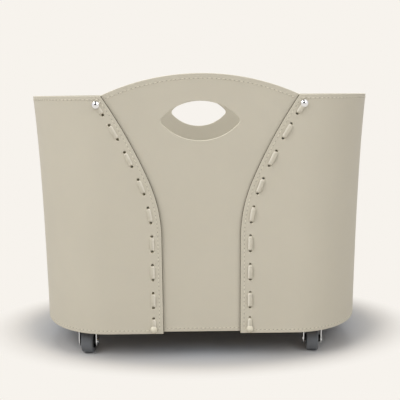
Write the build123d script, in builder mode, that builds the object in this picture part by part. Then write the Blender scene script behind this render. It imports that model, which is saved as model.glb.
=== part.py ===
from build123d import *
from math import asin, atan2, degrees, radians, sin, sqrt
import os

# Leather log basket on four swivel casters.
# Millimetres, +Z up, origin on the floor under the middle of the basket.
# X runs along the long side, -Y is the front.
# Two side panels wrap the ends and lap over a front and a back panel, and each of the
# four seams is laced with a flat thong. A wooden board closes the bottom.

# Wall plan and flare. The plan is a rectangle with rounded corners, and it grows with height.
basket_length = 534
basket_depth = 416
top_flare = 7
flare_power = 3.5
corner_radius = 116
wall_height = 364
arch_rise = 30.5
leather = 3.5
ply_gap = 0.2
panel_lift = 2

# Laced seam, drawn on the flat front: straight up, a short bend, then a long sweep outwards.
seam_half_gap = 59.7
seam_straight = 154
seam_bend_radius = 220
seam_bend_angle = 22.3
seam_sweep_radius = 740
lap = 26
shoulder_drop = 3

# Hand hole, a lens with rounded tips.
hand_hole_width = 114.5
hand_hole_height = 57.5
hand_hole_tip_radius = 7
hand_hole_below_arch = 67.5

# Lacing.
lace_inset = 14.5
lace_width = 6
lace_thickness = 1.4
lace_clearance = 0.2
lace_hole_diameter = 4.4
lace_run = 23.4
lace_pitch = 44.65
lace_first_run = 42.2
lace_end_gap = 17.3
lace_tab_radius = 4.6

# Rivets and nails.
rivet_below_top = 15.2
rivet_head_diameter = 10.5
rivet_head_height = 2.8
head_rim = 0.3
rivet_post_diameter = 3
rivet_back_diameter = 9
rivet_back_height = 1.8
nail_above_hem = 8
nail_shank_diameter = 2.2
nail_shank_length = 20
shank_clearance = 0.05

# Board and mat.
board_thickness = 12
board_fit = 0.3
mat_thickness = 2.5
mat_inset = 10

# Casters, measured from the floor. Their height sets the height of the hem.
caster_turns = {"front_left": -4, "front_right": -9, "back_left": 0, "back_right": 0}
caster_from_end = 78
caster_from_front = 56
wheel_diameter = 38
wheel_width = 18.5
tyre_thickness = 6
tyre_shoulder = 2.4
hub_boss_diameter = 11
hub_web = 5
hub_rim = 2
caster_trail = 14
axle_diameter = 6
axle_head_diameter = 9
axle_head_height = 1.4
running_clearance = 0.05
side_play = 0.35
cheek_gap = 26.4
cheek_thickness = 1.3
cheek_radius = 9.5
bridge_thickness = 1.5
bridge_front = 12
bridge_overhang = 8
wheel_headroom = 1.5
plate_size = 40
plate_corner = 5
plate_thickness = 2
plate_screw_spacing = 29
race_diameter = 26
race_pitch_diameter = 19
lower_race_height = 2
upper_race_height = 1.4
race_gap = 1.6
ball_diameter = 2.5
ball_count = 14
ball_clearance = 0.15
ball_lift = 0.1
kingpin_diameter = 6
kingpin_head_diameter = 10
kingpin_head_height = 1.4
kingpin_play = 0.2
screw_diameter = 3
screw_head_diameter = 6.4
screw_head_height = 1.8
screw_length = 11.5

# Worked out from the sizes above.
bridge_bottom = wheel_diameter + wheel_headroom
bridge_top = bridge_bottom + bridge_thickness
lower_race_top = bridge_top + lower_race_height
upper_race_bottom = lower_race_top + race_gap
ball_height = lower_race_top + race_gap / 2 + ball_lift
plate_bottom = upper_race_bottom + upper_race_height
board_bottom = plate_bottom + plate_thickness
hem_height = board_bottom - panel_lift
side_top = hem_height + wall_height
arch_top = side_top + arch_rise
core_half_x = basket_length / 2 - top_flare - corner_radius
core_half_y = basket_depth / 2 - top_flare - corner_radius
caster_pivot_x = core_half_x + corner_radius - caster_from_end
caster_pivot_y = core_half_y + corner_radius - caster_from_front
board_top = board_bottom + board_thickness
mat_top = board_top + mat_thickness
panel_inset = leather + ply_gap
inside_inset = panel_inset + leather
wheel_radius = wheel_diameter / 2
hub_radius = wheel_radius - tyre_thickness
seam_bend_top = seam_straight + seam_bend_radius * sin(radians(seam_bend_angle))
reach = basket_length
overshoot = 2


def flare(height):
    """How far the wall stands out at a height, compared with its bottom edge."""
    share = max(height - hem_height, 0) / wall_height
    return top_flare * share**flare_power


def flare_slope(height):
    """Sideways growth of the wall for each millimetre of height."""
    share = max(height - hem_height, 0) / wall_height
    return top_flare * flare_power * share ** (flare_power - 1) / wall_height


def wall_plane(x, height):
    """Plane on the outer face of the front wall, facing outwards."""
    radius = corner_radius + flare(height)
    around = max(abs(x) - core_half_x, 0)
    inward = sqrt(radius**2 - around**2)
    side = 1 if x > 0 else -1
    normal = Vector(side * around, -inward, -radius * flare_slope(height))
    along = Vector(inward, side * around, 0)
    return Plane(origin=(x, -core_half_y - inward, height), x_dir=along, z_dir=normal)


def plan_outline(height, inset):
    """The wall's plan at a height, drawn inset from its outer face."""
    radius = corner_radius + flare(height) - inset
    RectangleRounded(2 * (core_half_x + radius), 2 * (core_half_y + radius), radius)


def leather_band(outer_inset, inner_inset):
    """The whole wall between two insets, from below the hem to above the arch."""
    low = hem_height - overshoot
    high = arch_top + overshoot
    steps = 6
    heights = [low + (high - low) * step / steps for step in range(steps + 1)]
    with BuildPart() as band:
        for height in heights:
            with BuildSketch(Plane.XY.offset(height)):
                plan_outline(height, outer_inset)
        loft()
        for height in heights:
            with BuildSketch(Plane.XY.offset(height)):
                plan_outline(height, inner_inset)
        loft(mode=Mode.SUBTRACT)
    return band.part


def seam_sweep_angle(height):
    """Angle that the sweep turns through on its way up to a height."""
    rise = height - hem_height - seam_bend_top
    top_angle = asin(sin(radians(seam_bend_angle)) + rise / seam_sweep_radius)
    return degrees(top_angle) - seam_bend_angle


def seam_wire(shift, low, high):
    """The right-hand seam between two heights, shifted sideways, drawn flat."""
    knee = (seam_half_gap + shift, hem_height + seam_straight)
    with BuildLine() as seam:
        Line((seam_half_gap + shift, low), knee)
        bend = JernArc(knee, (0, 1), seam_bend_radius, -seam_bend_angle)
        JernArc(bend @ 1, bend % 1, seam_sweep_radius, -seam_sweep_angle(high))
    return seam.wires()[0]


lace_line = seam_wire(lace_inset, hem_height, side_top)
seam_corner = (seam_wire(0, hem_height, side_top) @ 1).X


def lace_point(distance):
    """Point on the lace line, at a distance along it from the hem."""
    point = lace_line.position_at(distance / lace_line.length)
    return (point.X, point.Y)


rivet_distance = lace_line.length - rivet_below_top
run_room = rivet_distance - lace_end_gap - lace_first_run - lace_run
run_count = 1 + int(run_room / lace_pitch)
run_starts = [lace_first_run + lace_pitch * run for run in range(run_count)]
lace_hole_distances = [lace_first_run - lace_end_gap]
for run_start in run_starts:
    lace_hole_distances += [run_start, run_start + lace_run]
lace_hole_distances.append(lace_hole_distances[-1] + lace_end_gap)
lace_holes = [lace_point(distance) for distance in lace_hole_distances]
nail_point = lace_point(nail_above_hem)
rivet_point = lace_point(rivet_distance)


rivet_seat = lace_thickness + 2 * lace_clearance
post_hole_depth = rivet_seat + inside_inset + lace_thickness + 2 * lace_clearance
rivet_plane = wall_plane(*rivet_point)
rivet_axis = Axis(rivet_plane.origin, rivet_plane.z_dir)
nail_plane = Plane(origin=wall_plane(*nail_point).origin, x_dir=(1, 0, 0), z_dir=(0, -1, 0))


def four_seams():
    """Repeat the pieces of the front right-hand seam on all four seams."""
    mirror(about=Plane.YZ)
    mirror(about=Plane.XZ)


# Hand hole cutter and the front half of the seam holes, as through shapes.
hand_hole_half = hand_hole_height / 2
hand_hole_flat = hand_hole_width / 2 - hand_hole_tip_radius
hand_hole_sum = hand_hole_flat**2 + hand_hole_half**2 - hand_hole_tip_radius**2
hand_hole_arc = hand_hole_sum / (2 * (hand_hole_half - hand_hole_tip_radius))
hand_hole_height_up = arch_top - hand_hole_below_arch
with BuildPart() as hand_hole:
    with BuildSketch(Plane.XZ) as lens:
        with Locations((0, hand_hole_height_up + hand_hole_half - hand_hole_arc)):
            Circle(hand_hole_arc)
        with Locations((0, hand_hole_height_up - hand_hole_half + hand_hole_arc)):
            Circle(hand_hole_arc, mode=Mode.INTERSECT)
        fillet(lens.vertices(), hand_hole_tip_radius)
    extrude(amount=reach)

with BuildPart() as post_holes:
    for plane, diameter in (
        (rivet_plane, rivet_post_diameter),
        (nail_plane, nail_shank_diameter),
    ):
        with BuildSketch(plane.offset(rivet_seat)):
            Circle(diameter / 2 + shank_clearance)
        extrude(amount=-post_hole_depth)

with BuildPart() as seam_punch:
    with BuildSketch(Plane.XZ):
        with Locations(*lace_holes):
            Circle(lace_hole_diameter / 2)
    extrude(amount=reach)
    add(post_holes.part)
    mirror(about=Plane.XZ)

outer_ply = leather_band(0, leather)
inner_ply = leather_band(panel_inset, inside_inset)


# Front and back panels.
arch_radius = (seam_corner**2 + arch_rise**2) / (2 * arch_rise)
shoulder_height = side_top - shoulder_drop
lap_edge = seam_wire(lap, board_bottom, shoulder_height)
with BuildPart() as front_panel:
    with BuildSketch(Plane.XZ):
        with BuildLine():
            add(lap_edge.edges())
            Line(lap_edge @ 1, (seam_corner + shoulder_drop, shoulder_height))
            Line((seam_corner + shoulder_drop, shoulder_height), (seam_corner, side_top))
            RadiusArc((seam_corner, side_top), (0, arch_top), -arch_radius)
            Line((0, arch_top), (0, board_bottom))
            Line((0, board_bottom), lap_edge @ 0)
        make_face()
        mirror(about=Plane.YZ)
    extrude(amount=reach)
    add(inner_ply, mode=Mode.INTERSECT)
    add(hand_hole.part, mode=Mode.SUBTRACT)
    add(seam_punch.part, mode=Mode.SUBTRACT)
    add(mirror(seam_punch.part, about=Plane.YZ, mode=Mode.PRIVATE), mode=Mode.SUBTRACT)
front_panel.part.label = "front_panel"

with BuildPart() as back_panel:
    mirror(front_panel.part, about=Plane.XZ)
back_panel.part.label = "back_panel"


# Side panels.
with BuildPart() as right_side_panel:
    with BuildSketch(Plane.XZ):
        with BuildLine():
            add(seam_wire(0, hem_height, side_top).edges())
            Polyline(
                (seam_corner, side_top),
                (reach, side_top),
                (reach, hem_height),
                (seam_half_gap, hem_height),
            )
        make_face()
    extrude(amount=reach, both=True)
    add(outer_ply, mode=Mode.INTERSECT)
    add(seam_punch.part, mode=Mode.SUBTRACT)
right_side_panel.part.label = "right_side_panel"

with BuildPart() as left_side_panel:
    mirror(right_side_panel.part, about=Plane.YZ)
left_side_panel.part.label = "left_side_panel"

# Bottom board, rebated front and back for the centre panels.
caster_places = {}
for end, y in (("front", -caster_pivot_y), ("back", caster_pivot_y)):
    for side, x in (("left", -caster_pivot_x), ("right", caster_pivot_x)):
        caster_places[f"{end}_{side}"] = (x, y)
plate_holes = [
    (x * plate_screw_spacing / 2, y * plate_screw_spacing / 2) for x in (-1, 1) for y in (-1, 1)
]


def caster_plane(name, height):
    """Level plane at a caster's pivot, turned to the way that caster stands."""
    x, y = caster_places[name]
    turned = Plane.XY.rotated((0, 0, caster_turns[name]))
    return Plane(origin=(x, y, height), x_dir=turned.x_dir, z_dir=(0, 0, 1))


rebate_y = core_half_y + corner_radius - inside_inset - board_fit
with BuildPart() as nail_bores:
    with BuildSketch(nail_plane.offset(rivet_seat - nail_shank_length)):
        Circle(nail_shank_diameter / 2 + shank_clearance)
    extrude(amount=nail_shank_length)
    four_seams()

with BuildPart() as base_board:
    with BuildSketch(Plane.XY.offset(board_bottom)):
        plan_outline(board_bottom, leather + board_fit)
        for side in (-1, 1):
            with Locations((0, side * (rebate_y + reach / 2))):
                Rectangle(2 * (seam_half_gap + lap + board_fit), reach, mode=Mode.SUBTRACT)
    extrude(amount=board_thickness)
    add(nail_bores.part, mode=Mode.SUBTRACT)
    with BuildSketch(Plane.XY.offset(board_bottom)):
        for place in caster_places.values():
            with Locations(place):
                with Locations(*plate_holes):
                    Circle(screw_diameter / 2 + shank_clearance)
    extrude(amount=screw_length - plate_thickness, mode=Mode.SUBTRACT)
base_board.part.label = "base_board"

with BuildPart() as floor_mat:
    with BuildSketch(Plane.XY.offset(board_top)):
        plan_outline(board_top, inside_inset + mat_inset)
    extrude(amount=mat_thickness)
floor_mat.part.label = "floor_mat"


# Lacing: flat runs outside, flat runs inside, and the tucks that pass through the holes.
lace_outer_face = lace_clearance + lace_thickness
lace_outside = leather_band(-lace_outer_face, -lace_clearance)
lace_inside = leather_band(inside_inset + lace_clearance, inside_inset + lace_outer_face)
lace_through = leather_band(-lace_outer_face, inside_inset + lace_outer_face)


def draw_lace_run(start, end):
    """One straight flat run between two points, with round ends."""
    middle = ((start[0] + end[0]) / 2, (start[1] + end[1]) / 2)
    span = (end[0] - start[0], end[1] - start[1])
    length = sqrt(span[0] ** 2 + span[1] ** 2)
    turn = degrees(atan2(span[1], span[0]))
    with Locations(Location((*middle, 0), (0, 0, turn))):
        SlotCenterToCenter(length, lace_width)


def lace_plate(stops, band, tabs=()):
    """Every other stretch between the stops, as a thin layer of a wall band."""
    with BuildPart() as layer:
        with BuildSketch(Plane.XZ):
            for start, end in zip(stops[::2], stops[1::2]):
                draw_lace_run(start, end)
            if tabs:
                with Locations(*tabs):
                    Circle(lace_tab_radius)
        extrude(amount=reach)
        add(band, mode=Mode.INTERSECT)
    return layer.part


outside_stops = [nail_point, *lace_holes, rivet_point]
outside_runs = lace_plate(outside_stops, lace_outside, (nail_point, rivet_point))
inside_runs = lace_plate(lace_holes, lace_inside)
with BuildPart() as front_right_lace:
    with BuildSketch(Plane.XZ):
        with Locations(*lace_holes):
            Circle(lace_hole_diameter / 2 - shank_clearance)
    extrude(amount=reach)
    add(lace_through, mode=Mode.INTERSECT)
    add(outside_runs)
    add(inside_runs)
    add(post_holes.part, mode=Mode.SUBTRACT)
front_right_lace.part.label = "front_right_lace"

with BuildPart() as front_left_lace:
    mirror(front_right_lace.part, about=Plane.YZ)
front_left_lace.part.label = "front_left_lace"

with BuildPart() as back_right_lace:
    mirror(front_right_lace.part, about=Plane.XZ)
back_right_lace.part.label = "back_right_lace"

with BuildPart() as back_left_lace:
    mirror(front_left_lace.part, about=Plane.XZ)
back_left_lace.part.label = "back_left_lace"


# Rivets at the tops of the laces. The backs are the cups that the posts are closed into.
rivet_back_seat = inside_inset + lace_clearance
with BuildPart() as top_rivets:
    with BuildSketch(rivet_plane.offset(rivet_seat)):
        Circle(rivet_head_diameter / 2)
    extrude(amount=rivet_head_height)
    fillet(top_rivets.edges().sort_by(rivet_axis)[-1], rivet_head_height - head_rim)
    with BuildSketch(rivet_plane.offset(rivet_seat)):
        Circle(rivet_post_diameter / 2)
    extrude(amount=-(rivet_seat + rivet_back_seat + rivet_back_height / 2))
    four_seams()
top_rivets.part.label = "top_rivets"

with BuildPart() as rivet_backs:
    with BuildSketch(rivet_plane.offset(-rivet_back_seat)):
        Circle(rivet_back_diameter / 2)
    extrude(amount=-rivet_back_height)
    fillet(rivet_backs.edges().sort_by(rivet_axis)[0], rivet_back_height / 2)
    with BuildSketch(rivet_plane.offset(-rivet_back_seat)):
        Circle(rivet_post_diameter / 2)
    extrude(amount=-rivet_back_height / 2, mode=Mode.SUBTRACT)
    four_seams()
rivet_backs.part.label = "rivet_backs"

# Nails through the bottoms of the laces into the edge of the board.
with BuildPart() as base_nails:
    with BuildSketch(nail_plane.offset(rivet_seat)):
        Circle(rivet_head_diameter / 2)
    extrude(amount=rivet_head_height)
    fillet(base_nails.edges().sort_by(Axis.Y)[0], rivet_head_height - head_rim)
    with BuildSketch(nail_plane.offset(rivet_seat)):
        Circle(nail_shank_diameter / 2)
    extrude(amount=-nail_shank_length)
    four_seams()
base_nails.part.label = "base_nails"


# Casters.
def make_plate(plane):
    """Top plate with its screw holes, the raceway pressed down from it and the pin hole."""
    with BuildPart() as plate:
        with BuildSketch(plane.offset(plate_bottom)):
            RectangleRounded(plate_size, plate_size, plate_corner)
            with Locations(*plate_holes):
                Circle(screw_diameter / 2 + shank_clearance, mode=Mode.SUBTRACT)
        extrude(amount=plate_thickness)
        with BuildSketch(plane.offset(upper_race_bottom)):
            Circle(race_diameter / 2)
        extrude(amount=upper_race_height)
        with Locations(plane.offset(ball_height)):
            Torus(
                race_pitch_diameter / 2,
                ball_diameter / 2 + ball_clearance,
                mode=Mode.SUBTRACT,
            )
        with BuildSketch(plane.offset(upper_race_bottom)):
            Circle(kingpin_diameter / 2)
        extrude(amount=board_bottom - upper_race_bottom, mode=Mode.SUBTRACT)
        with BuildSketch(plane.offset(board_bottom - kingpin_head_height)):
            Circle(kingpin_head_diameter / 2)
        extrude(amount=kingpin_head_height, mode=Mode.SUBTRACT)
    return plate.part


def make_kingpin(plane):
    """Headed pin that the fork turns on, closed over below the fork's bridge."""
    foot = bridge_bottom - kingpin_play
    with BuildPart() as kingpin:
        with BuildSketch(plane.offset(foot - kingpin_head_height)):
            Circle(kingpin_head_diameter / 2)
        extrude(amount=kingpin_head_height)
        fillet(kingpin.edges().sort_by(Axis.Z)[0], kingpin_head_height / 2)
        with BuildSketch(plane.offset(foot)):
            Circle(kingpin_diameter / 2)
        extrude(amount=board_bottom - foot)
        with BuildSketch(plane.offset(board_bottom - kingpin_head_height)):
            Circle(kingpin_head_diameter / 2)
        extrude(amount=kingpin_head_height)
    return kingpin.part


def make_balls(plane):
    """Ring of bearing balls between the two raceways."""
    with BuildPart() as balls:
        with Locations(plane.offset(ball_height)):
            with PolarLocations(race_pitch_diameter / 2, ball_count):
                Sphere(ball_diameter / 2)
    return balls.part


def make_screws(plane):
    """Four pan head screws that hold the plate to the board."""
    with BuildPart() as screws:
        with BuildSketch(plane.offset(plate_bottom - screw_head_height)):
            with Locations(*plate_holes):
                Circle(screw_head_diameter / 2)
        extrude(amount=screw_head_height)
        fillet(screws.edges().group_by(Axis.Z)[0], screw_head_height / 2)
        with BuildSketch(plane.offset(plate_bottom)):
            with Locations(*plate_holes):
                Circle(screw_diameter / 2)
        extrude(amount=screw_length)
    return screws.part


def axle_plane(plane, offset):
    """Upright plane square to the axle, at a distance along it from the caster's middle."""
    centre = plane.origin - plane.y_dir * caster_trail + Vector(0, 0, wheel_radius)
    return Plane(origin=centre + plane.x_dir * offset, x_dir=plane.y_dir, z_dir=plane.x_dir)


def make_fork(plane):
    """Pressed fork: two cheeks, the bridge over the wheel and the lower raceway."""
    outer_half = cheek_gap / 2 + cheek_thickness
    bridge_back = caster_trail + bridge_overhang
    bridge_middle = caster_trail + (bridge_front - bridge_back) / 2
    with BuildPart() as fork:
        with BuildSketch(axle_plane(plane, -outer_half)):
            Circle(cheek_radius)
            with Locations((bridge_middle, bridge_bottom + bridge_thickness / 2 - wheel_radius)):
                Rectangle(bridge_front + bridge_back, bridge_thickness)
            make_hull()
        extrude(amount=2 * outer_half)
        with BuildSketch(plane):
            Rectangle(cheek_gap, reach)
        extrude(amount=bridge_bottom, mode=Mode.SUBTRACT)
        with BuildSketch(plane.offset(bridge_top)):
            Circle(race_diameter / 2)
        extrude(amount=lower_race_height)
        with Locations(plane.offset(ball_height)):
            Torus(
                race_pitch_diameter / 2,
                ball_diameter / 2 + ball_clearance,
                mode=Mode.SUBTRACT,
            )
        with BuildSketch(plane.offset(bridge_bottom)):
            Circle(kingpin_diameter / 2 + running_clearance)
        extrude(amount=bridge_thickness + lower_race_height, mode=Mode.SUBTRACT)
        with BuildSketch(axle_plane(plane, -outer_half)):
            Circle(axle_diameter / 2)
        extrude(amount=2 * outer_half, mode=Mode.SUBTRACT)
    return fork.part


def make_axle(plane):
    """Axle riveted over at both cheeks."""
    outer_half = cheek_gap / 2 + cheek_thickness
    with BuildPart() as axle:
        with BuildSketch(axle_plane(plane, -outer_half)):
            Circle(axle_diameter / 2)
        extrude(amount=2 * outer_half)
        for offset, direction in ((-outer_half, -1), (outer_half, 1)):
            with BuildSketch(axle_plane(plane, offset)):
                Circle(axle_head_diameter / 2)
            extrude(amount=direction * axle_head_height)
    return axle.part


def make_hub(plane):
    """Moulded hub: rim, web and a long boss that spaces the wheel between the cheeks."""
    boss_half = cheek_gap / 2 - side_play
    with BuildPart() as hub:
        for radius, half_width in (
            (hub_radius, wheel_width / 2),
            (hub_boss_diameter / 2, boss_half),
        ):
            with BuildSketch(axle_plane(plane, -half_width)):
                Circle(radius)
            extrude(amount=2 * half_width)
        for offset, direction in ((hub_web / 2, 1), (-hub_web / 2, -1)):
            with BuildSketch(axle_plane(plane, offset)):
                Circle(hub_radius - hub_rim)
                Circle(hub_boss_diameter / 2, mode=Mode.SUBTRACT)
            extrude(amount=direction * wheel_width, mode=Mode.SUBTRACT)
        with BuildSketch(axle_plane(plane, -boss_half)):
            Circle(axle_diameter / 2 + running_clearance)
        extrude(amount=2 * boss_half, mode=Mode.SUBTRACT)
    return hub.part


def make_tyre(plane):
    """Rubber tread with round shoulders."""
    with BuildPart() as tyre:
        with BuildSketch(axle_plane(plane, -wheel_width / 2)):
            Circle(wheel_radius)
        extrude(amount=wheel_width)
        fillet(tyre.edges().filter_by(GeomType.CIRCLE), tyre_shoulder)
        with BuildSketch(axle_plane(plane, -wheel_width / 2)):
            Circle(hub_radius)
        extrude(amount=wheel_width, mode=Mode.SUBTRACT)
    return tyre.part


caster_makers = {
    "plate": make_plate,
    "kingpin": make_kingpin,
    "bearing_balls": make_balls,
    "plate_screws": make_screws,
    "fork": make_fork,
    "axle": make_axle,
    "hub": make_hub,
    "tyre": make_tyre,
}
caster_pieces = []
for name, (x, y) in caster_places.items():
    square = Plane(origin=(x, y, 0), x_dir=(1, 0, 0), z_dir=(0, 0, 1))
    turned = caster_plane(name, 0)
    for piece, make in caster_makers.items():
        swivels = piece in ("fork", "axle", "hub", "tyre")
        solid = make(turned if swivels else square)
        solid.label = f"{name}_{piece}"
        caster_pieces.append(solid)


body_pieces = [
    front_panel.part,
    back_panel.part,
    left_side_panel.part,
    right_side_panel.part,
    base_board.part,
    floor_mat.part,
    front_left_lace.part,
    front_right_lace.part,
    back_left_lace.part,
    back_right_lace.part,
    top_rivets.part,
    rivet_backs.part,
    base_nails.part,
]
os.makedirs("parts", exist_ok=True)
for piece in body_pieces + caster_pieces:
    export_step(piece, f"parts/{piece.label}.step")
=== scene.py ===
"""Leather log basket on casters: the finished look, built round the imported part."""

from math import asin, atan2, cos, pi, radians, sin, sqrt

import bmesh
import bpy
from mathutils import Matrix, Vector


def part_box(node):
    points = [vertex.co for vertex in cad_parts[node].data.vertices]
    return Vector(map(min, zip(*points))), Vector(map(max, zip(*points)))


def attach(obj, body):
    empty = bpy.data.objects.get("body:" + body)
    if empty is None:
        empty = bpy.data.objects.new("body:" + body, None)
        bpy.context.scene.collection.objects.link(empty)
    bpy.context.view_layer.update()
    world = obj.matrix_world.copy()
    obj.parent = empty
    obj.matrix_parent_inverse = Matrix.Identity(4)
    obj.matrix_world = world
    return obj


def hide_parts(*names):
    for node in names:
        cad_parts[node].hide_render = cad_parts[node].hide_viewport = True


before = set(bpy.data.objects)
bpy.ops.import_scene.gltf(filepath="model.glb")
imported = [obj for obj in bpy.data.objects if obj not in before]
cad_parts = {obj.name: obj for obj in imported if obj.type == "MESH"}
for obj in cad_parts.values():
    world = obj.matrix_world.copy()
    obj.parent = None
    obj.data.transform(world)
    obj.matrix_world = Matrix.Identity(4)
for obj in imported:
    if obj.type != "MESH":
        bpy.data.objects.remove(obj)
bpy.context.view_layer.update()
SIDE_LOW, SIDE_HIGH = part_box("right_side_panel")
FRONT_LOW, FRONT_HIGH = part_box("front_panel")
MAT_LOW, MAT_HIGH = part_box("floor_mat")

bl_info = {
    "name": "Leather log basket",
    "version": (1, 0, 0),
    "blender": (4, 5, 0),
    "location": "View3D > Sidebar > Basket",
    "description": "Builds a laced leather log basket on casters round its packed part",
    "category": "Object",
}

CASTERS = ("front_left", "front_right", "back_left", "back_right")

# Widest strips, in metres, that the leather is cut into so that it can bend.
PANEL_STRIP, WRAP_STRIP, LINING_STRIP = 0.012, 0.008, 0.02


# ---------------- sizes and colours


def length(name, default, description):
    """A size in metres that shows in the sidebar."""
    return bpy.props.FloatProperty(
        name=name, default=default, description=description, unit="LENGTH", precision=4
    )


def colour(name, default, description):
    """A linear colour that shows in the sidebar."""
    return bpy.props.FloatVectorProperty(
        name=name, default=default, description=description, subtype="COLOR", size=3, min=0, max=1
    )


def number(name, default, description):
    """A plain number that shows in the sidebar."""
    return bpy.props.FloatProperty(name=name, default=default, description=description)


class BasketShape(bpy.types.PropertyGroup):
    """Sizes of the leather wall, its seams and its lacing."""

    half_length: length("Half length", SIDE_HIGH.x, "Middle to the outside of an end, at the top")
    half_depth: length("Half depth", SIDE_HIGH.y, "Middle to the outside of the front, at the top")
    hem_height: length("Hem height", SIDE_LOW.z, "Floor to the lower edge of the side panels")
    side_top: length("Side top", SIDE_HIGH.z, "Floor to the upper edge of the side panels")
    arch_top: length("Arch top", FRONT_HIGH.z, "Floor to the top of the arch")
    panel_foot: length("Panel foot", FRONT_LOW.z, "Floor to the lower edge of the centre panels")
    top_flare: length("Top flare", 0.007, "How far the wall leans out at the top")
    flare_power: number("Flare power", 3.5, "How late the wall begins to lean out")
    corner_radius: length("Corner radius", 0.116, "Corner radius of the plan at the hem")
    leather: length("Leather", 0.0035, "Thickness of the panels")
    ply_gap: length("Ply gap", 0.0002, "Room between the two plies of a seam")
    edge_round: length("Edge round", 0.0006, "Rounding of a cut edge")
    seam_half_gap: length("Seam half gap", 0.0597, "Middle to a seam at the hem")
    seam_straight: length("Seam straight", 0.154, "Straight part of a seam")
    seam_bend_radius: length("Seam bend radius", 0.220, "Radius of the short bend of a seam")
    seam_bend_angle: bpy.props.FloatProperty(
        name="Seam bend angle",
        default=radians(22.3),
        description="Turn of the short bend",
        subtype="ANGLE",
    )
    seam_sweep_radius: length("Seam sweep radius", 0.740, "Radius of the long sweep of a seam")
    lap: length("Lap", 0.026, "How far a centre panel runs on behind a side panel")
    shoulder_drop: length("Shoulder drop", 0.003, "Hidden shoulder below the side panel's top")
    hole_width: length("Hand hole width", 0.1145, "Width of the hand hole")
    hole_height: length("Hand hole height", 0.0575, "Height of the hand hole")
    hole_tip: length("Hand hole tip", 0.007, "Radius of the hand hole's tips")
    hole_drop: length("Hand hole drop", 0.0675, "Arch top to the middle of the hand hole")
    lace_inset: length("Lace inset", 0.0145, "Seam edge to the lace line")
    lace_width: length("Lace width", 0.0068, "Width of the thong")
    lace_thickness: length("Lace thickness", 0.0014, "Thickness of the thong")
    lace_hole: length("Lace hole", 0.0044, "Diameter of a punched hole")
    lace_run: length("Lace run", 0.0234, "Length of a run that shows outside")
    lace_pitch: length("Lace pitch", 0.04465, "Distance from one outside run to the next")
    lace_first_run: length("First run", 0.0422, "Hem to the first outside run")
    lace_end_gap: length("End gap", 0.0173, "Gap before the first hole and after the last")
    rivet_drop: length("Rivet drop", 0.0152, "Top of the lace line to the rivet")
    nail_rise: length("Nail rise", 0.008, "Hem to the nail")


class BasketDetail(bpy.types.PropertyGroup):
    """Sizes of the stitching, the painted seam shade, the rivets and the lining."""

    stitch_pitch: length("Stitch pitch", 0.0065, "Distance from one stitch to the next")
    stitch_length: length("Stitch length", 0.0044, "Thread that shows in one stitch")
    thread_width: length("Thread width", 0.0012, "Thickness of the sewing thread")
    # Painted shade: a dark bead on each side panel's seam edge stands for the shade in the crevice.
    shade_bead_width: length("Paint width", 0.0005, "Width of the paint bead on a seam edge")
    arch_margin: length("Arch margin", 0.007, "Arch edge to its stitching")
    seam_margin: length("Seam margin", 0.0055, "Side panel edge to its stitching")
    hem_margin: length("Hem margin", 0.0055, "Lower edge to its stitching")
    cap_radius: length("Cap radius", 0.0053, "Radius of a rivet cap")
    cap_height: length("Cap height", 0.0028, "Height of a rivet cap")
    mat_edge_round: length("Mat edge round", 0.001, "Rounding of the lining's cut edge")


class BasketFinish(bpy.types.PropertyGroup):
    """Colours of the finishes, with the painted shades on the floor, in the needle holes and along
    the seams, and the painted highlight on the thong's edge.
    """

    leather: colour("Leather", (0.575, 0.535, 0.440), "Bonded leather")
    lace: colour("Lace", (0.580, 0.540, 0.444), "Thong")
    cut_edge: colour("Cut edge", (0.800, 0.760, 0.620), "Raw fibre of a cut edge")
    # Pale colour on the thong's edge that faces the middle of the front: a skived edge with a
    # painted highlight.
    skived_edge_highlight: colour("Skived edge", (0.900, 0.860, 0.760), "Thinned pale edge of the thong")
    # Painted shade for the crevice along each seam edge.
    seam_crevice_shade: colour("Painted edge", (0.110, 0.095, 0.065), "Dark paint on the seam edges")
    thread: colour("Thread", (0.760, 0.720, 0.600), "Sewing thread")
    # Painted shade: the dark bead at each needle hole stands for the shade inside the hole.
    needle_hole_shade: colour("Needle hole", (0.230, 0.215, 0.165), "Leather pulled in between stitches")
    lining: colour("Lining", (0.500, 0.465, 0.385), "Lining on the board")
    board: colour("Board", (0.420, 0.300, 0.180), "Fibreboard")
    chrome: colour("Chrome", (0.820, 0.820, 0.830), "Rivets")
    enamel: colour("Enamel", (0.760, 0.710, 0.575), "Cream enamel on the nail heads")
    zinc: colour("Zinc", (0.640, 0.650, 0.660), "Plated caster steel")
    rubber: colour("Rubber", (0.116, 0.127, 0.142), "Wheel tread")
    hub: colour("Hub", (0.020, 0.021, 0.022), "Moulded wheel centre")
    # Painted shadow: the floor's colour is darkened to this under the basket.
    shade: colour("Shade", (0.425, 0.460, 0.512), "Floor under the basket")
    floor: colour("Floor", (0.665, 0.640, 0.610), "Floor beside the basket")
    backdrop: colour("Backdrop", (0.930, 0.896, 0.847), "Floor further out and backdrop")


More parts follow.
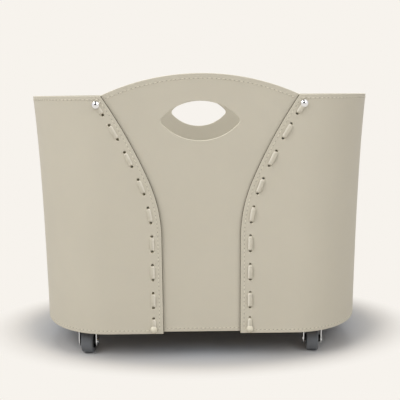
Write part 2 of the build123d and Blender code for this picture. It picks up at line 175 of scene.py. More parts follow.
class BasketStage(bpy.types.PropertyGroup):
    """Camera, lamps and the painted shadow on the floor."""

    lens: number("Lens", 52.85, "Focal length in millimetres on a 36 mm wide sensor")
    distance: length("Distance", 1.0597, "Basket to camera along the floor")
    eye_height: length("Eye height", 0.4124, "Height of the camera above the floor")
    pitch: number("Pitch", 0.1797, "Downward tilt in radians")
    heading: number("Heading", 0.0065, "Turn of the camera round the basket in radians")
    roll: number("Roll", 0.0085, "Roll of the camera in radians")
    sky: number("Sky", 0.485, "Strength of the even light from all round")
    right_share: number("Right share", 0.55, "Strength of the even light from the right")
    key_power: number("Key power", 46.0, "Watts of the lamp on the left")
    fill_power: number("Fill power", 21.0, "Watts of the lamp on the right")
    top_power: number("Top power", 14.0, "Watts of the lamp overhead")
    back_power: number("Back power", 22.0, "Watts of the lamp behind")
    # Size and place of the painted shadow on the floor.
    shade_reach_x: length("Shade reach X", 0.295, "Half length of the floor that takes full shade")
    shade_reach_y: length("Shade reach Y", 0.165, "Half depth of the floor that takes full shade")
    shade_middle: length("Shade middle", -0.04, "Middle of the full shade, from front to back")
    shade_fade: number("Shade fade", 1.36, "Where the shade has run out, as a share of its reach")


def settings():
    """The four groups of settings."""
    scene = bpy.context.scene
    return scene.basket_shape, scene.basket_detail, scene.basket_finish, scene.basket_stage


# ---------------- the shape of the wall


def flare(shape, height):
    """How far the wall stands out at a height, compared with the hem."""
    share = max(height - shape.hem_height, 0) / (shape.side_top - shape.hem_height)
    return shape.top_flare * share**shape.flare_power


def flare_slope(shape, height):
    """Sideways growth of the wall for each metre of height."""
    span = shape.side_top - shape.hem_height
    share = max(height - shape.hem_height, 0) / span
    return shape.top_flare * shape.flare_power * share ** (shape.flare_power - 1) / span


def plan_core(shape):
    """Half length and half depth of the rectangle that the corners are centred on."""
    margin = shape.top_flare + shape.corner_radius
    return shape.half_length - margin, shape.half_depth - margin


def plan_stops(shape):
    """Distances round the hem from the front middle to each change between flat and round."""
    half_x, half_y = plan_core(shape)
    quarter = shape.corner_radius * pi / 2
    corner_end = half_x + quarter
    second = corner_end + 2 * half_y
    return half_x, corner_end, second, second + quarter, second + quarter + half_x


def wall_frame(shape, along, height, inset=0.0):
    """Matrix at a place on the wall: X round the basket, Y up the wall, Z outwards.

    along is the distance round the hem from the front middle, positive to the right.
    """
    half_x, half_y = plan_core(shape)
    first, corner_end, second, last, _ = plan_stops(shape)
    side = 1 if along >= 0 else -1
    walk = abs(along)
    if walk <= first:
        turn, centre = 0, (walk, -half_y)
    elif walk <= corner_end:
        turn, centre = (walk - first) / shape.corner_radius, (half_x, -half_y)
    elif walk <= second:
        turn, centre = pi / 2, (half_x, -half_y + walk - corner_end)
    elif walk <= last:
        turn, centre = pi / 2 + (walk - second) / shape.corner_radius, (half_x, half_y)
    else:
        turn, centre = pi, (half_x - (walk - last), half_y)
    outward = Vector((side * sin(turn), -cos(turn), 0))
    radius = shape.corner_radius + flare(shape, height)
    slope = flare_slope(shape, height)
    normal = Vector((outward.x, outward.y, -slope)).normalized()
    round_axis = Vector((-outward.y, outward.x, 0))
    up = normal.cross(round_axis)
    place = Vector((side * centre[0], centre[1], height)) + outward * radius - normal * inset
    rotation = Matrix((round_axis, up, normal)).transposed()
    return Matrix.Translation(place) @ rotation.to_4x4()


def seam_offset(shape, rise):
    """Sideways place of a seam at a height above the hem, from the front middle."""
    bend = shape.seam_bend_angle
    bend_top = shape.seam_straight + shape.seam_bend_radius * sin(bend)
    if rise <= shape.seam_straight:
        return shape.seam_half_gap
    if rise <= bend_top:
        turn = asin((rise - shape.seam_straight) / shape.seam_bend_radius)
        return shape.seam_half_gap + shape.seam_bend_radius * (1 - cos(turn))
    turn = asin(sin(bend) + (rise - bend_top) / shape.seam_sweep_radius)
    bend_side = shape.seam_half_gap + shape.seam_bend_radius * (1 - cos(bend))
    return bend_side + shape.seam_sweep_radius * (cos(bend) - cos(turn))


def seam_points(shape, shift, low, high, step=0.006):
    """The right-hand seam as points from one height to another, shifted sideways."""
    count = max(int((high - low) / step), 2)
    points = []
    for index in range(count + 1):
        height = low + (high - low) * index / count
        points.append((seam_offset(shape, height - shape.hem_height) + shift, height))
    return points


def arc_points(shape, drop=0.0, count=48):
    """The arch from its right-hand end over the top to its left-hand end."""
    corner = seam_offset(shape, shape.side_top - shape.hem_height)
    rise = shape.arch_top - shape.side_top
    radius = (corner**2 + rise**2) / (2 * rise)
    half_angle = asin(corner / radius)
    points = []
    for index in range(count + 1):
        angle = half_angle * (1 - 2 * index / count)
        reach = radius - drop
        points.append((reach * sin(angle), shape.arch_top - radius + reach * cos(angle)))
    return points


def hand_hole_points(shape, tip_count=10, arc_count=20):
    """Outline of the hand hole, a lens with rounded tips."""
    flat = shape.hole_width / 2 - shape.hole_tip
    half = shape.hole_height / 2
    radius = (flat**2 + half**2 - shape.hole_tip**2) / (2 * (half - shape.hole_tip))
    middle = shape.arch_top - shape.hole_drop
    join = asin(flat / (radius - shape.hole_tip))
    points = []
    for side in (1, -1):
        for index in range(arc_count + 1):
            angle = side * (join - 2 * join * index / arc_count)
            rise = radius * cos(angle) - radius + half
            points.append((radius * sin(angle), middle + side * rise))
        for index in range(1, tip_count):
            angle = join + (pi - 2 * join) * index / tip_count
            reach = flat + shape.hole_tip * sin(angle)
            points.append((-side * reach, middle + side * shape.hole_tip * cos(angle)))
    return points


# ---------------- the lace line


def lace_line(shape):
    """The lace line as points with the distance along it at each."""
    line, walked = [], 0.0
    points = seam_points(shape, shape.lace_inset, shape.hem_height, shape.side_top, 0.002)
    for index, point in enumerate(points):
        if index:
            walked += (Vector(point) - Vector(points[index - 1])).length
        line.append((walked, Vector(point)))
    return line


def lace_place(line, distance):
    """Point and direction on the lace line, at a distance from the hem."""
    for (start, first), (end, second) in zip(line, line[1:]):
        if distance <= end or end == line[-1][0]:
            share = (distance - start) / (end - start)
            return first.lerp(second, share), (second - first).normalized()
    raise ValueError("the lace line has no length")


def lace_stops(shape, line):
    """Distances of the nail, the punched holes and the rivet along the lace line."""
    rivet = line[-1][0] - shape.rivet_drop
    room = rivet - shape.lace_end_gap - shape.lace_first_run - shape.lace_run
    holes = [shape.lace_first_run - shape.lace_end_gap]
    for run in range(1 + int(room / shape.lace_pitch)):
        start = shape.lace_first_run + shape.lace_pitch * run
        holes += [start, start + shape.lace_run]
    holes.append(holes[-1] + shape.lace_end_gap)
    return shape.nail_rise, holes, rivet


# ---------------- working in leather


def curve_mesh(curve):
    """The shape of a curve as a mesh. The curve is used up."""
    holder = bpy.data.objects.new(curve.name, curve)
    mesh = bpy.data.meshes.new_from_object(holder)
    bpy.data.objects.remove(holder)
    bpy.data.curves.remove(curve)
    return mesh


def cut_flat(outlines, thickness, edge_round):
    """A flat piece with real thickness, holes and rounded cut edges, as a bmesh."""
    curve = bpy.data.curves.new("cutting_line", "CURVE")
    curve.dimensions = "2D"
    curve.fill_mode = "BOTH"
    curve.extrude = thickness / 2 - edge_round
    curve.bevel_depth = edge_round
    curve.bevel_resolution = 1
    curve.offset = -edge_round
    for outline in outlines:
        spline = curve.splines.new("POLY")
        spline.points.add(len(outline) - 1)
        for point, place in zip(spline.points, outline):
            point.co = (place[0], place[1], 0, 1)
        spline.use_cyclic_u = True
    mesh = curve_mesh(curve)
    sheet = bmesh.new()
    sheet.from_mesh(mesh)
    bpy.data.meshes.remove(mesh)
    bmesh.ops.remove_doubles(sheet, verts=sheet.verts, dist=1e-6)
    return sheet


def slice_flat(sheet, axis, places):
    """Cut a flat piece into strips, so that it can bend there."""
    direction = Vector((0, 0, 0))
    direction[axis] = 1
    for place in places:
        bmesh.ops.bisect_plane(
            sheet,
            geom=sheet.verts[:] + sheet.edges[:] + sheet.faces[:],
            dist=1e-6,
            plane_co=direction * place,
            plane_no=direction,
        )


def spread(low, high, step):
    """Evenly spaced places between two values, without the ends."""
    count = max(int(round((high - low) / step)), 1)
    return [low + (high - low) * k / count for k in range(1, count)]


def bend_to_wall(shape, sheet, middle_inset, thickness, edge_round):
    """Bend a flat piece onto the wall and mark its raw cut edges."""
    raw = sheet.verts.layers.float.new("raw_edge_and_highlight")
    flat_face = thickness / 2 - edge_round / 10
    for vert in sheet.verts:
        along, height, out = vert.co
        vert[raw] = 1.0 if abs(out) < flat_face else 0.0
        wall = wall_frame(shape, along, height, middle_inset - out)
        vert.co = wall.translation
    bmesh.ops.recalc_face_normals(sheet, faces=sheet.faces)


def settle(name, maker, material, nodes=(), turn=None, flat_faces=False):
    """Turn a bmesh into a finished piece of the basket and hide the imported parts that it stands
    for.

    flat_faces keeps the big faces flat-looking beside their rounded edges.
    """
    if turn is not None:
        bmesh.ops.transform(maker, matrix=turn, verts=maker.verts)
    mesh = bpy.data.meshes.new(name)
    maker.to_mesh(mesh)
    maker.free()
    for polygon in mesh.polygons:
        polygon.use_smooth = True
    mesh.materials.append(material)
    piece = bpy.data.objects.new(name, mesh)
    bpy.context.scene.collection.objects.link(piece)
    if flat_faces:
        modifier = piece.modifiers.new("flat_faces", "WEIGHTED_NORMAL")
        modifier.weight = 100
        modifier.keep_sharp = False
    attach(piece, "basket")
    if nodes:
        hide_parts(*nodes)


HALF_TURN = Matrix.Rotation(pi, 4, "Z")

# Each seam's name, the side of the front that it is made on, and its turn to the back.
SEAMS = (
    ("front_right", 1, None),
    ("front_left", -1, None),
    ("back_left", 1, HALF_TURN),
    ("back_right", -1, HALF_TURN),
)


# ---------------- materials


def feed(tree, socket, value):
    """Let an input follow an output socket, or give it a number, a colour or a vector."""
    if isinstance(value, bpy.types.NodeSocket):
        tree.links.new(value, socket)
    elif socket.type == "RGBA":
        socket.default_value = (*value, 1)
    else:
        socket.default_value = value


def node(tree, kind, inputs=None, **options):
    """Add a node, set its options and feed its inputs."""
    made = tree.nodes.new(kind)
    for key, value in options.items():
        setattr(made, key, value)
    for target, value in (inputs or {}).items():
        feed(tree, made.inputs[target], value)
    return made


def calc(tree, operation, *values):
    """A Math node. Returns its output."""
    return node(tree, "ShaderNodeMath", dict(enumerate(values)), operation=operation).outputs[0]


def vector_calc(tree, operation, *values):
    """A Vector Math node."""
    return node(tree, "ShaderNodeVectorMath", dict(enumerate(values)), operation=operation)


def noise(tree, coordinates, scale, detail):
    """A Noise Texture node. Returns its output."""
    inputs = {"Vector": coordinates, "Scale": scale, "Detail": detail}
    return node(tree, "ShaderNodeTexNoise", inputs).outputs["Fac"]


def mix_colour(tree, factor, first, second):
    """A Mix node for colours. Returns its output."""
    return node(tree, "ShaderNodeMix", {0: factor, 6: first, 7: second}, data_type="RGBA").outputs[2]


def share_between(tree, value, start, end, interpolation="LINEAR"):
    """How far a value has gone from one number to another, from 0 to 1."""
    inputs = {"Value": value, "From Min": start, "From Max": end}
    made = node(tree, "ShaderNodeMapRange", inputs, interpolation_type=interpolation)
    return made.outputs["Result"]


def mix_shader(tree, factor, first, second):
    """A Mix Shader node between two shaders."""
    inputs = {0: factor, 1: first.outputs[0], 2: second.outputs[0]}
    return node(tree, "ShaderNodeMixShader", inputs)


def open_group(name, inputs):
    """A shader node group with the named inputs, and its input node."""
    group = bpy.data.node_groups.new(name, "ShaderNodeTree")
    for label, default in inputs.items():
        is_colour = isinstance(default, tuple)
        kind = "NodeSocketColor" if is_colour else "NodeSocketFloat"
        socket = group.interface.new_socket(label, in_out="INPUT", socket_type=kind)
        socket.default_value = (*default, 1) if is_colour else default
    return group, group.nodes.new("NodeGroupInput")


def close_group(group, colour_out, roughness, height):
    """Let a group put out its colour, roughness and height."""
    results = (
        ("Colour", "NodeSocketColor", colour_out),
        ("Roughness", "NodeSocketFloat", roughness),
        ("Height", "NodeSocketFloat", height),
    )
    for label, kind, _ in results:
        group.interface.new_socket(label, in_out="OUTPUT", socket_type=kind)
    node(group, "NodeGroupOutput", {label: value for label, _, value in results})
    return group


def build_leather_group():
    """Node group: hide colour with soft clouding, roughness and fine pressed grain."""
    group, source = open_group(
        "pressed_leather",
        {
            "Colour": (0.5, 0.5, 0.5),
            "Raw Colour": (0.6, 0.6, 0.5),
            "Raw Edge And Highlight": 0.0,
            "Grain Size": 0.0011,
            "Clouding": 0.05,
        },
    )
    raw_edge_and_highlight = source.outputs["Raw Edge And Highlight"]
    coordinates = node(group, "ShaderNodeTexCoord").outputs["Object"]
    grain_scale = calc(group, "DIVIDE", 1.0, source.outputs["Grain Size"])
    clouds = noise(group, coordinates, 11.0, 3.0)
    patches = noise(group, coordinates, 70.0, 4.0)
    pores = noise(group, coordinates, grain_scale, 2.0)
    fibres = noise(group, coordinates, 1400.0, 2.0)
    cells = {"Vector": coordinates, "Scale": grain_scale}
    grain = node(group, "ShaderNodeTexVoronoi", cells, feature="SMOOTH_F1").outputs["Distance"]

    cloud = calc(group, "MULTIPLY_ADD", patches, 0.5, clouds)
    cloud = calc(group, "SUBTRACT", cloud, 0.75)
    shade = calc(group, "MULTIPLY_ADD", grain, 0.03, 0.985)
    shade = calc(group, "MULTIPLY_ADD", cloud, source.outputs["Clouding"], shade)
    tint = {
        "Color": source.outputs["Colour"],
        "Value": shade,
        "Saturation": calc(group, "MULTIPLY_ADD", patches, 0.10, 0.95),
    }
    cloudy = node(group, "ShaderNodeHueSaturation", tint).outputs["Color"]
    speckle = calc(group, "MULTIPLY", fibres, 0.35)
    # Pale colour of the raw cut edges; on the thong it is also the painted highlight.
    raw = mix_colour(group, speckle, source.outputs["Raw Colour"], (0.35, 0.3, 0.22))

    rough = calc(group, "MULTIPLY_ADD", patches, 0.12, 0.50)
    rough = calc(group, "MULTIPLY_ADD", raw_edge_and_highlight, 0.2, rough)
    height = calc(group, "MULTIPLY_ADD", grain, 0.7, calc(group, "MULTIPLY", pores, 0.5))
    height = calc(group, "MULTIPLY_ADD", raw_edge_and_highlight, fibres, height)
    return close_group(group, mix_colour(group, raw_edge_and_highlight, cloudy, raw), rough, height)


def build_wear_group():
    """Node group: fine scratches and dull patches for metal, enamel, rubber, plastic and thread."""
    group, source = open_group(
        "handled_surface",
        {
            "Colour": (0.5, 0.5, 0.5),
            "Dull Colour": (0.3, 0.3, 0.3),
            "Dulling": 0.2,
            "Roughness": 0.3,
            "Patch Size": 0.01,
        },
    )
    coordinates = node(group, "ShaderNodeTexCoord").outputs["Object"]
    patch_scale = calc(group, "DIVIDE", 1.0, source.outputs["Patch Size"])
    patches = noise(group, coordinates, patch_scale, 4.0)
    fine = noise(group, coordinates, 1800.0, 2.0)
    amount = calc(group, "MULTIPLY", patches, source.outputs["Dulling"])
    tone = mix_colour(group, amount, source.outputs["Colour"], source.outputs["Dull Colour"])
    rough = calc(group, "MULTIPLY_ADD", amount, 0.5, source.outputs["Roughness"])
    return close_group(group, tone, rough, calc(group, "ADD", fine, patches))


GROUPS_OF_NODES = {
    "pressed_leather": build_leather_group,
    "handled_surface": build_wear_group,
}


def group_material(name, group_name, values, bump_strength, bump_distance):
    """A Principled material whose colour, roughness and bump come from a node group.

    Returns its node tree as well, with the Principled and the group node.
    """
    material = bpy.data.materials.new(name)
    material.use_nodes = True
    tree = material.node_tree
    shader = tree.nodes["Principled BSDF"]
    group = bpy.data.node_groups.get(group_name) or GROUPS_OF_NODES[group_name]()
    effect = node(tree, "ShaderNodeGroup", values, node_tree=group)
    height = effect.outputs["Height"]
    relief = {"Height": height, "Strength": bump_strength, "Distance": bump_distance}
    feed(tree, shader.inputs["Base Color"], effect.outputs["Colour"])
    feed(tree, shader.inputs["Roughness"], effect.outputs["Roughness"])
    feed(tree, shader.inputs["Normal"], node(tree, "ShaderNodeBump", relief).outputs["Normal"])
    return material, tree, shader, effect


def leather_material(name, tone, raw_tone, clouding=0.06, grain_size=0.0011):
    """Smooth bonded leather with raw cut edges; on the thong the same mask carries a painted
    highlight along one edge.
    """
    made = bpy.data.materials.get(name)
    if made:
        return made
    values = {"Colour": tone, "Raw Colour": raw_tone, "Clouding": clouding, "Grain Size": grain_size}
    material, tree, shader, effect = group_material(name, "pressed_leather", values, 0.25, 0.0002)
    attribute = node(tree, "ShaderNodeAttribute", attribute_name="raw_edge_and_highlight")
    feed(tree, effect.inputs["Raw Edge And Highlight"], attribute.outputs["Fac"])
    feed(tree, shader.inputs["Specular IOR Level"], 0.35)
    return material


def handled_material(name, tone, dull_tone, roughness, metallic, dulling=0.2, patch=0.01, bump=0.05):
    """Metal, enamel, rubber, plastic, board or thread with slight handling marks."""
    made = bpy.data.materials.get(name)
    if made:
        return made
    values = {
        "Colour": tone,
        "Dull Colour": dull_tone,
        "Dulling": dulling,
        "Roughness": roughness,
        "Patch Size": patch,
    }
    material, tree, shader, _ = group_material(name, "handled_surface", values, bump, 0.0001)
    feed(tree, shader.inputs["Metallic"], metallic)
    return material


def scaled_tone(tone, factor):
    """A darker or lighter version of a colour."""
    return tuple(factor * channel for channel in tone)


# ---------------- operators


class BasketStep(bpy.types.Operator):
    """Common settings of every step."""

    bl_idname = "basket.step"
    bl_label = "Basket step"
    bl_options = {"REGISTER", "UNDO"}


class BASKET_OT_panels(BasketStep):
    """Cut, punch and bend the four leather panels"""

    bl_idname = "basket.panels"
    bl_label = "Leather panels"

    def execute(self, context):
        shape, _, finish, _ = settings()
        skin = leather_material("panel_leather", finish.leather, finish.cut_edge)
        line = lace_line(shape)
        punched = [lace_place(line, distance)[0] for distance in lace_stops(shape, line)[1]]
        round_trip = plan_stops(shape)[-1]

        right = seam_points(shape, shape.lap, shape.panel_foot, shape.side_top - shape.shoulder_drop)
        reach, shoulder_height = right[-1]
        arch = arc_points(shape)
        shoulder = arch[0][0] + shape.shoulder_drop
        outline = right + [(shoulder, shoulder_height)] + arch
        outline += [(-shoulder, shoulder_height)] + [(-x, z) for x, z in reversed(right)]
        centre = [outline, list(reversed(hand_hole_points(shape)))]
        centre += [punch(shape, side * place.x, place.y) for side in (1, -1) for place in punched]

        front = seam_points(shape, 0, shape.hem_height, shape.side_top)
        end = [[(round_trip - x, z) for x, z in front] + list(reversed(front))]
        for place in punched:
            end += [punch(shape, x, place.y) for x in (place.x, round_trip - place.x)]

        middle = shape.leather / 2
        for names, cuts, inset, rows, columns in (
            (
                ("front_panel", "back_panel"),
                centre,
                shape.leather + shape.ply_gap + middle,
                spread(shape.panel_foot, shape.arch_top, PANEL_STRIP),
                spread(-reach, reach, PANEL_STRIP),
            ),
            (
                ("right_side_panel", "left_side_panel"),
                end,
                middle,
                spread(shape.hem_height, shape.side_top, PANEL_STRIP),
                spread(shape.seam_half_gap, round_trip - shape.seam_half_gap, WRAP_STRIP),
            ),
        ):
            for name, turn in zip(names, (None, HALF_TURN)):
                sheet = cut_flat(cuts, shape.leather, shape.edge_round)
                slice_flat(sheet, 1, rows)
                slice_flat(sheet, 0, columns)
                bend_to_wall(shape, sheet, inset, shape.leather, shape.edge_round)
                settle(name + "_leather", sheet, skin, [name], turn, flat_faces=True)
        return {"FINISHED"}


def punch(shape, x, height, count=14):
    """Outline of a punched lace hole."""
    radius = shape.lace_hole / 2
    turns = [2 * pi * k / count for k in reversed(range(count))]
    return [(x + radius * cos(turn), height + radius * sin(turn)) for turn in turns]


class BASKET_OT_lining(BasketStep):
    """Cut the lining that lies on the board and give the board its fibre finish"""

    bl_idname = "basket.lining"
    bl_label = "Lining and board"

    def execute(self, context):
        shape, detail, finish, _ = settings()
        corner = MAT_HIGH.x - plan_core(shape)[0]
        outline = []
        for index, (x, y) in enumerate(((1, 1), (-1, 1), (-1, -1), (1, -1))):
            centre = Vector((x * (MAT_HIGH.x - corner), y * (MAT_HIGH.y - corner)))
            for step in range(13):
                angle = pi / 2 * (index + step / 12)
                outline.append(tuple(centre + corner * Vector((cos(angle), sin(angle)))))
        thickness = MAT_HIGH.z - MAT_LOW.z
        sheet = cut_flat([outline], thickness, detail.mat_edge_round)
        slice_flat(sheet, 0, spread(-MAT_HIGH.x, MAT_HIGH.x, LINING_STRIP))
        slice_flat(sheet, 1, spread(-MAT_HIGH.y, MAT_HIGH.y, LINING_STRIP))
        raw = sheet.verts.layers.float.new("raw_edge_and_highlight")
        flat_face = thickness / 2 - detail.mat_edge_round / 2
        for vert in sheet.verts:
            vert[raw] = 1.0 if abs(vert.co.z) < flat_face else 0.0
            vert.co.z += (MAT_LOW.z + MAT_HIGH.z) / 2
        skin = leather_material("lining_leather", finish.lining, finish.cut_edge, 0.08, 0.0014)
        settle("floor_lining", sheet, skin, ["floor_mat"], flat_faces=True)
        fibreboard = handled_material(
            "fibreboard", finish.board, scaled_tone(finish.board, 0.6), 0.75, 0.0, 0.8, 0.002, 0.3
        )
        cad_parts["base_board"].material_slots[0].material = fibreboard
        return {"FINISHED"}


class BASKET_OT_lacing(BasketStep):
    """Weave the four thongs through the punched holes"""

    bl_idname = "basket.lacing"
    bl_label = "Lacing"

    def execute(self, context):
        shape, _, finish, _ = settings()
        # The thong's pale edge colour is a skived edge with a painted highlight.
        skin = leather_material("thong_leather", finish.lace, finish.skived_edge_highlight, 0.05, 0.0009)
        for seam, side, turn in SEAMS:
            thong = weave_thong(shape, side)
            settle(f"{seam}_lace_thong", thong, skin, [f"{seam}_lace"], turn)
        return {"FINISHED"}


def thong_route(shape, nail, holes, rivet):
    """The thong's route as (distance along the lace line, height off the outer face)."""
    end, ease = 0.0045, 0.004
    clear_of_face, clear_of_hole = 0.0003, 0.0001
    outside_bulge, inside_bulge = 0.0006, -0.0003
    over = shape.lace_thickness / 2 + clear_of_face
    under = -(2 * shape.leather + shape.ply_gap) - over
    tuck = shape.lace_hole / 2 - shape.lace_thickness / 2 - clear_of_hole
    route = [(nail - end, over), (nail, over)]
    outside = True
    for before, hole in zip([nail] + holes, holes):
        lean = -tuck if outside else tuck
        level, other = (over, under) if outside else (under, over)
        crown = level + (outside_bulge if outside else inside_bulge)
        route.append(((before + hole) / 2, crown))
        route.append((hole + lean - ease, level))
        route.append((hole + lean, level))
        route.append((hole + lean, other))
        route.append((hole + lean + ease, other))
        outside = not outside
    route.append(((holes[-1] + rivet) / 2, over))
    return route + [(rivet, over), (rivet + end, over)]


def smooth_route(route):
    """Points along a smooth curve that is guided by a route."""
    curve = bpy.data.curves.new("route", "CURVE")
    curve.resolution_u = 5
    spline = curve.splines.new("NURBS")
    spline.points.add(len(route) - 1)
    for point, (distance, out) in zip(spline.points, route):
        point.co = (distance, out, 0, 1)
    spline.use_endpoint_u = True
    spline.order_u = 3
    mesh = curve_mesh(curve)
    points = [vert.co.xy for vert in mesh.vertices]
    bpy.data.meshes.remove(mesh)
    return points


def weave_thong(shape, side):
    """One flat thong from its nail, in and out of the holes, to its rivet."""
    line = lace_line(shape)
    points = smooth_route(thong_route(shape, *lace_stops(shape, line)))
    rows, tip_length, least_tip = 5, 0.003, 0.02
    squeeze_in_hole, fade_per_row, edge_round = 0.45, 0.6, 0.0003
    thong = bmesh.new()
    pale = thong.verts.layers.float.new("raw_edge_and_highlight")
    bmesh.ops.create_grid(thong, x_segments=len(points) - 1, y_segments=rows - 1, size=0.5)
    verts = sorted(thong.verts, key=lambda vert: (round(vert.co.x, 5), vert.co.y))
    crown = 0.25 * shape.lace_thickness
    for index, point in enumerate(points):
        before = points[max(index - 1, 0)]
        after = points[min(index + 1, len(points) - 1)]
        run = (after - before).normalized()
        place, direction = lace_place(line, point.x)
        wall = wall_frame(shape, side * place.x, place.y, -point.y)
        pinch = 1 - squeeze_in_hole * abs(run.y)
        end = min(point.x - points[0].x, points[-1].x - point.x)
        tip = sqrt(max(1 - (1 - min(end / tip_length, 1)) ** 2, least_tip))
        half = shape.lace_width / 2 * pinch * tip
        for row in range(rows):
            across = 2 * row / (rows - 1) - 1
            sideways = Vector((direction.y * side, -direction.x, 0)) * across * half
            rise = crown * (1 - across * across) * (1 if point.y > 0 else -1) * abs(run.x)
            vert = verts[index * rows + row]
            vert.co = wall @ (sideways + Vector((0, 0, rise)))
            # Painted highlight: the edge row that faces the middle of the front is pale, fading over
            # the next row.
            vert[pale] = max(1 - fade_per_row * row, 0)
    bmesh.ops.recalc_face_normals(thong, faces=thong.faces)
    bmesh.ops.solidify(thong, geom=thong.faces[:], thickness=shape.lace_thickness * 0.8)
    bmesh.ops.recalc_face_normals(thong, faces=thong.faces)
    rim = [edge for edge in thong.edges if edge.calc_face_angle(0) > radians(50)]
    bmesh.ops.bevel(
        thong,
        geom=rim,
        offset=edge_round,
        segments=2,
        profile=0.5,
        affect="EDGES",
        material=-1,
        clamp_overlap=True,
    )
    return thong


class BASKET_OT_stitching(BasketStep):
    """Sew the machine stitching along the edges"""

    bl_idname = "basket.stitching"
    bl_label = "Stitching"

    def execute(self, context):
        shape, detail, finish, _ = settings()
        dull_thread = scaled_tone(finish.thread, 0.75)
        thread = handled_material(
            "sewing_thread", finish.thread, dull_thread, 0.7, 0.0, 0.4, 0.0006, 0.2
        )
        # Painted shade: dark beads in the needle holes stand for the shade inside them.
        hole_shade = handled_material("painted_hole_shade", finish.needle_hole_shade, finish.leather, 0.8, 0.0)
        round_trip = plan_stops(shape)[-1]
        low = shape.hem_height + detail.hem_margin
        high = shape.side_top - detail.seam_margin
        seam = seam_points(shape, detail.seam_margin, low, high)
        far_seam = [(round_trip - x, z) for x, z in seam]
        hem = level_points(seam[0][0], far_seam[0][0], low, 60)
        top = level_points(seam[-1][0], far_seam[-1][0], high, 60)
        arch = []
        for x, z in arc_points(shape, detail.arch_margin, 80):
            if z > shape.side_top or abs(x) < seam_offset(shape, z - shape.hem_height):
                arch.append((x, z))
        foot = shape.panel_foot + detail.hem_margin
        centre_hem = level_points(-shape.seam_half_gap, shape.seam_half_gap, foot, 20)
        behind = shape.leather + shape.ply_gap
        for names, paths, inset in (
            (("right_side", "left_side"), (seam, far_seam, hem, top), 0.0),
            (("front", "back"), (arch, centre_hem), behind),
        ):
            for name, turn in zip(names, (None, HALF_TURN)):
                rows, holes = bmesh.new(), bmesh.new()
                for path in paths:
                    sew(rows, holes, shape, detail, path, inset, 1)
                    sew(rows, holes, shape, detail, path, inset + shape.leather, -1)
                settle(name + "_stitching", rows, thread, (), turn)
                settle(name + "_needle_hole_shades", holes, hole_shade, (), turn)
        return {"FINISHED"}


def level_points(start, end, height, count):
    """Evenly spaced points from one place to another at one height."""
    return [(start + (end - start) * k / count, height) for k in range(count + 1)]


def sew(rows, holes, shape, detail, path, inset, facing):
    """A row of stitches half sunk in one face of the leather, with a dark bead after each as the
    painted shade in its needle hole.
    """
    walked, due = 0.0, detail.stitch_pitch / 2
    half_width = detail.thread_width / 2
    stitch_depth, hole_depth, lift_share = 0.9 * half_width, 0.15 * half_width, 0.24
    stitch = Matrix.Diagonal((detail.stitch_length / 2, half_width, stitch_depth, 1))
    hole = Matrix.Diagonal((half_width, half_width, hole_depth, 1))
    lift = Matrix.Translation((0, 0, facing * lift_share * half_width))
    step = Matrix.Translation((detail.stitch_pitch / 2, 0, 0))
    slant = Matrix.Rotation(radians(8), 4, "Z")
    for first, second in zip(path, path[1:]):
        start, end = Vector(first), Vector(second)
        span = (end - start).length
        direction = (end - start).normalized()
        turn = Matrix.Rotation(atan2(direction.y, direction.x), 4, "Z")
        while due <= walked + span:
            place = start.lerp(end, (due - walked) / span)
            wall = wall_frame(shape, place.x, place.y, inset)
            for beads, matrix in (
                (rows, wall @ lift @ turn @ slant @ stitch),
                (holes, wall @ turn @ step @ hole),
            ):
                bmesh.ops.create_icosphere(beads, subdivisions=1, radius=1.0, matrix=matrix)
            due += detail.stitch_pitch
        walked += span


class BASKET_OT_seam_shade_bead(BasketStep):
    """Run a dark bead along the seam edges of the side panels, as painted shade for the crevice
    where they lap the centre panels
    """

    bl_idname = "basket.seam_paint"
    bl_label = "Seam paint"

    def execute(self, context):
        shape, detail, finish, _ = settings()
        # Painted shade: the dark bead on each seam edge stands for the shade in the crevice where
        # the side panel laps the centre panel.
        dull_seam_shade = scaled_tone(finish.seam_crevice_shade, 1.4)
        shade_paint = handled_material("painted_seam_shade", finish.seam_crevice_shade, dull_seam_shade, 0.6, 0.0)
        low, high = shape.hem_height + shape.edge_round, shape.side_top - shape.edge_round
        depth = shape.leather - shape.edge_round
        roundness = detail.shade_bead_width / 3
        inner = seam_points(shape, -detail.shade_bead_width, low, high)
        outer = seam_points(shape, shape.edge_round / 2, low, high)
        for seam, side, turn in SEAMS:
            outline = [(side * x, z) for x, z in outer + list(reversed(inner))]
            bead = cut_flat([outline], depth, roundness)
            slice_flat(bead, 1, spread(low, high, PANEL_STRIP))
            bend_to_wall(shape, bead, shape.leather / 2, depth, roundness)
            settle(seam + "_seam_paint", bead, shade_paint, (), turn)
        return {"FINISHED"}


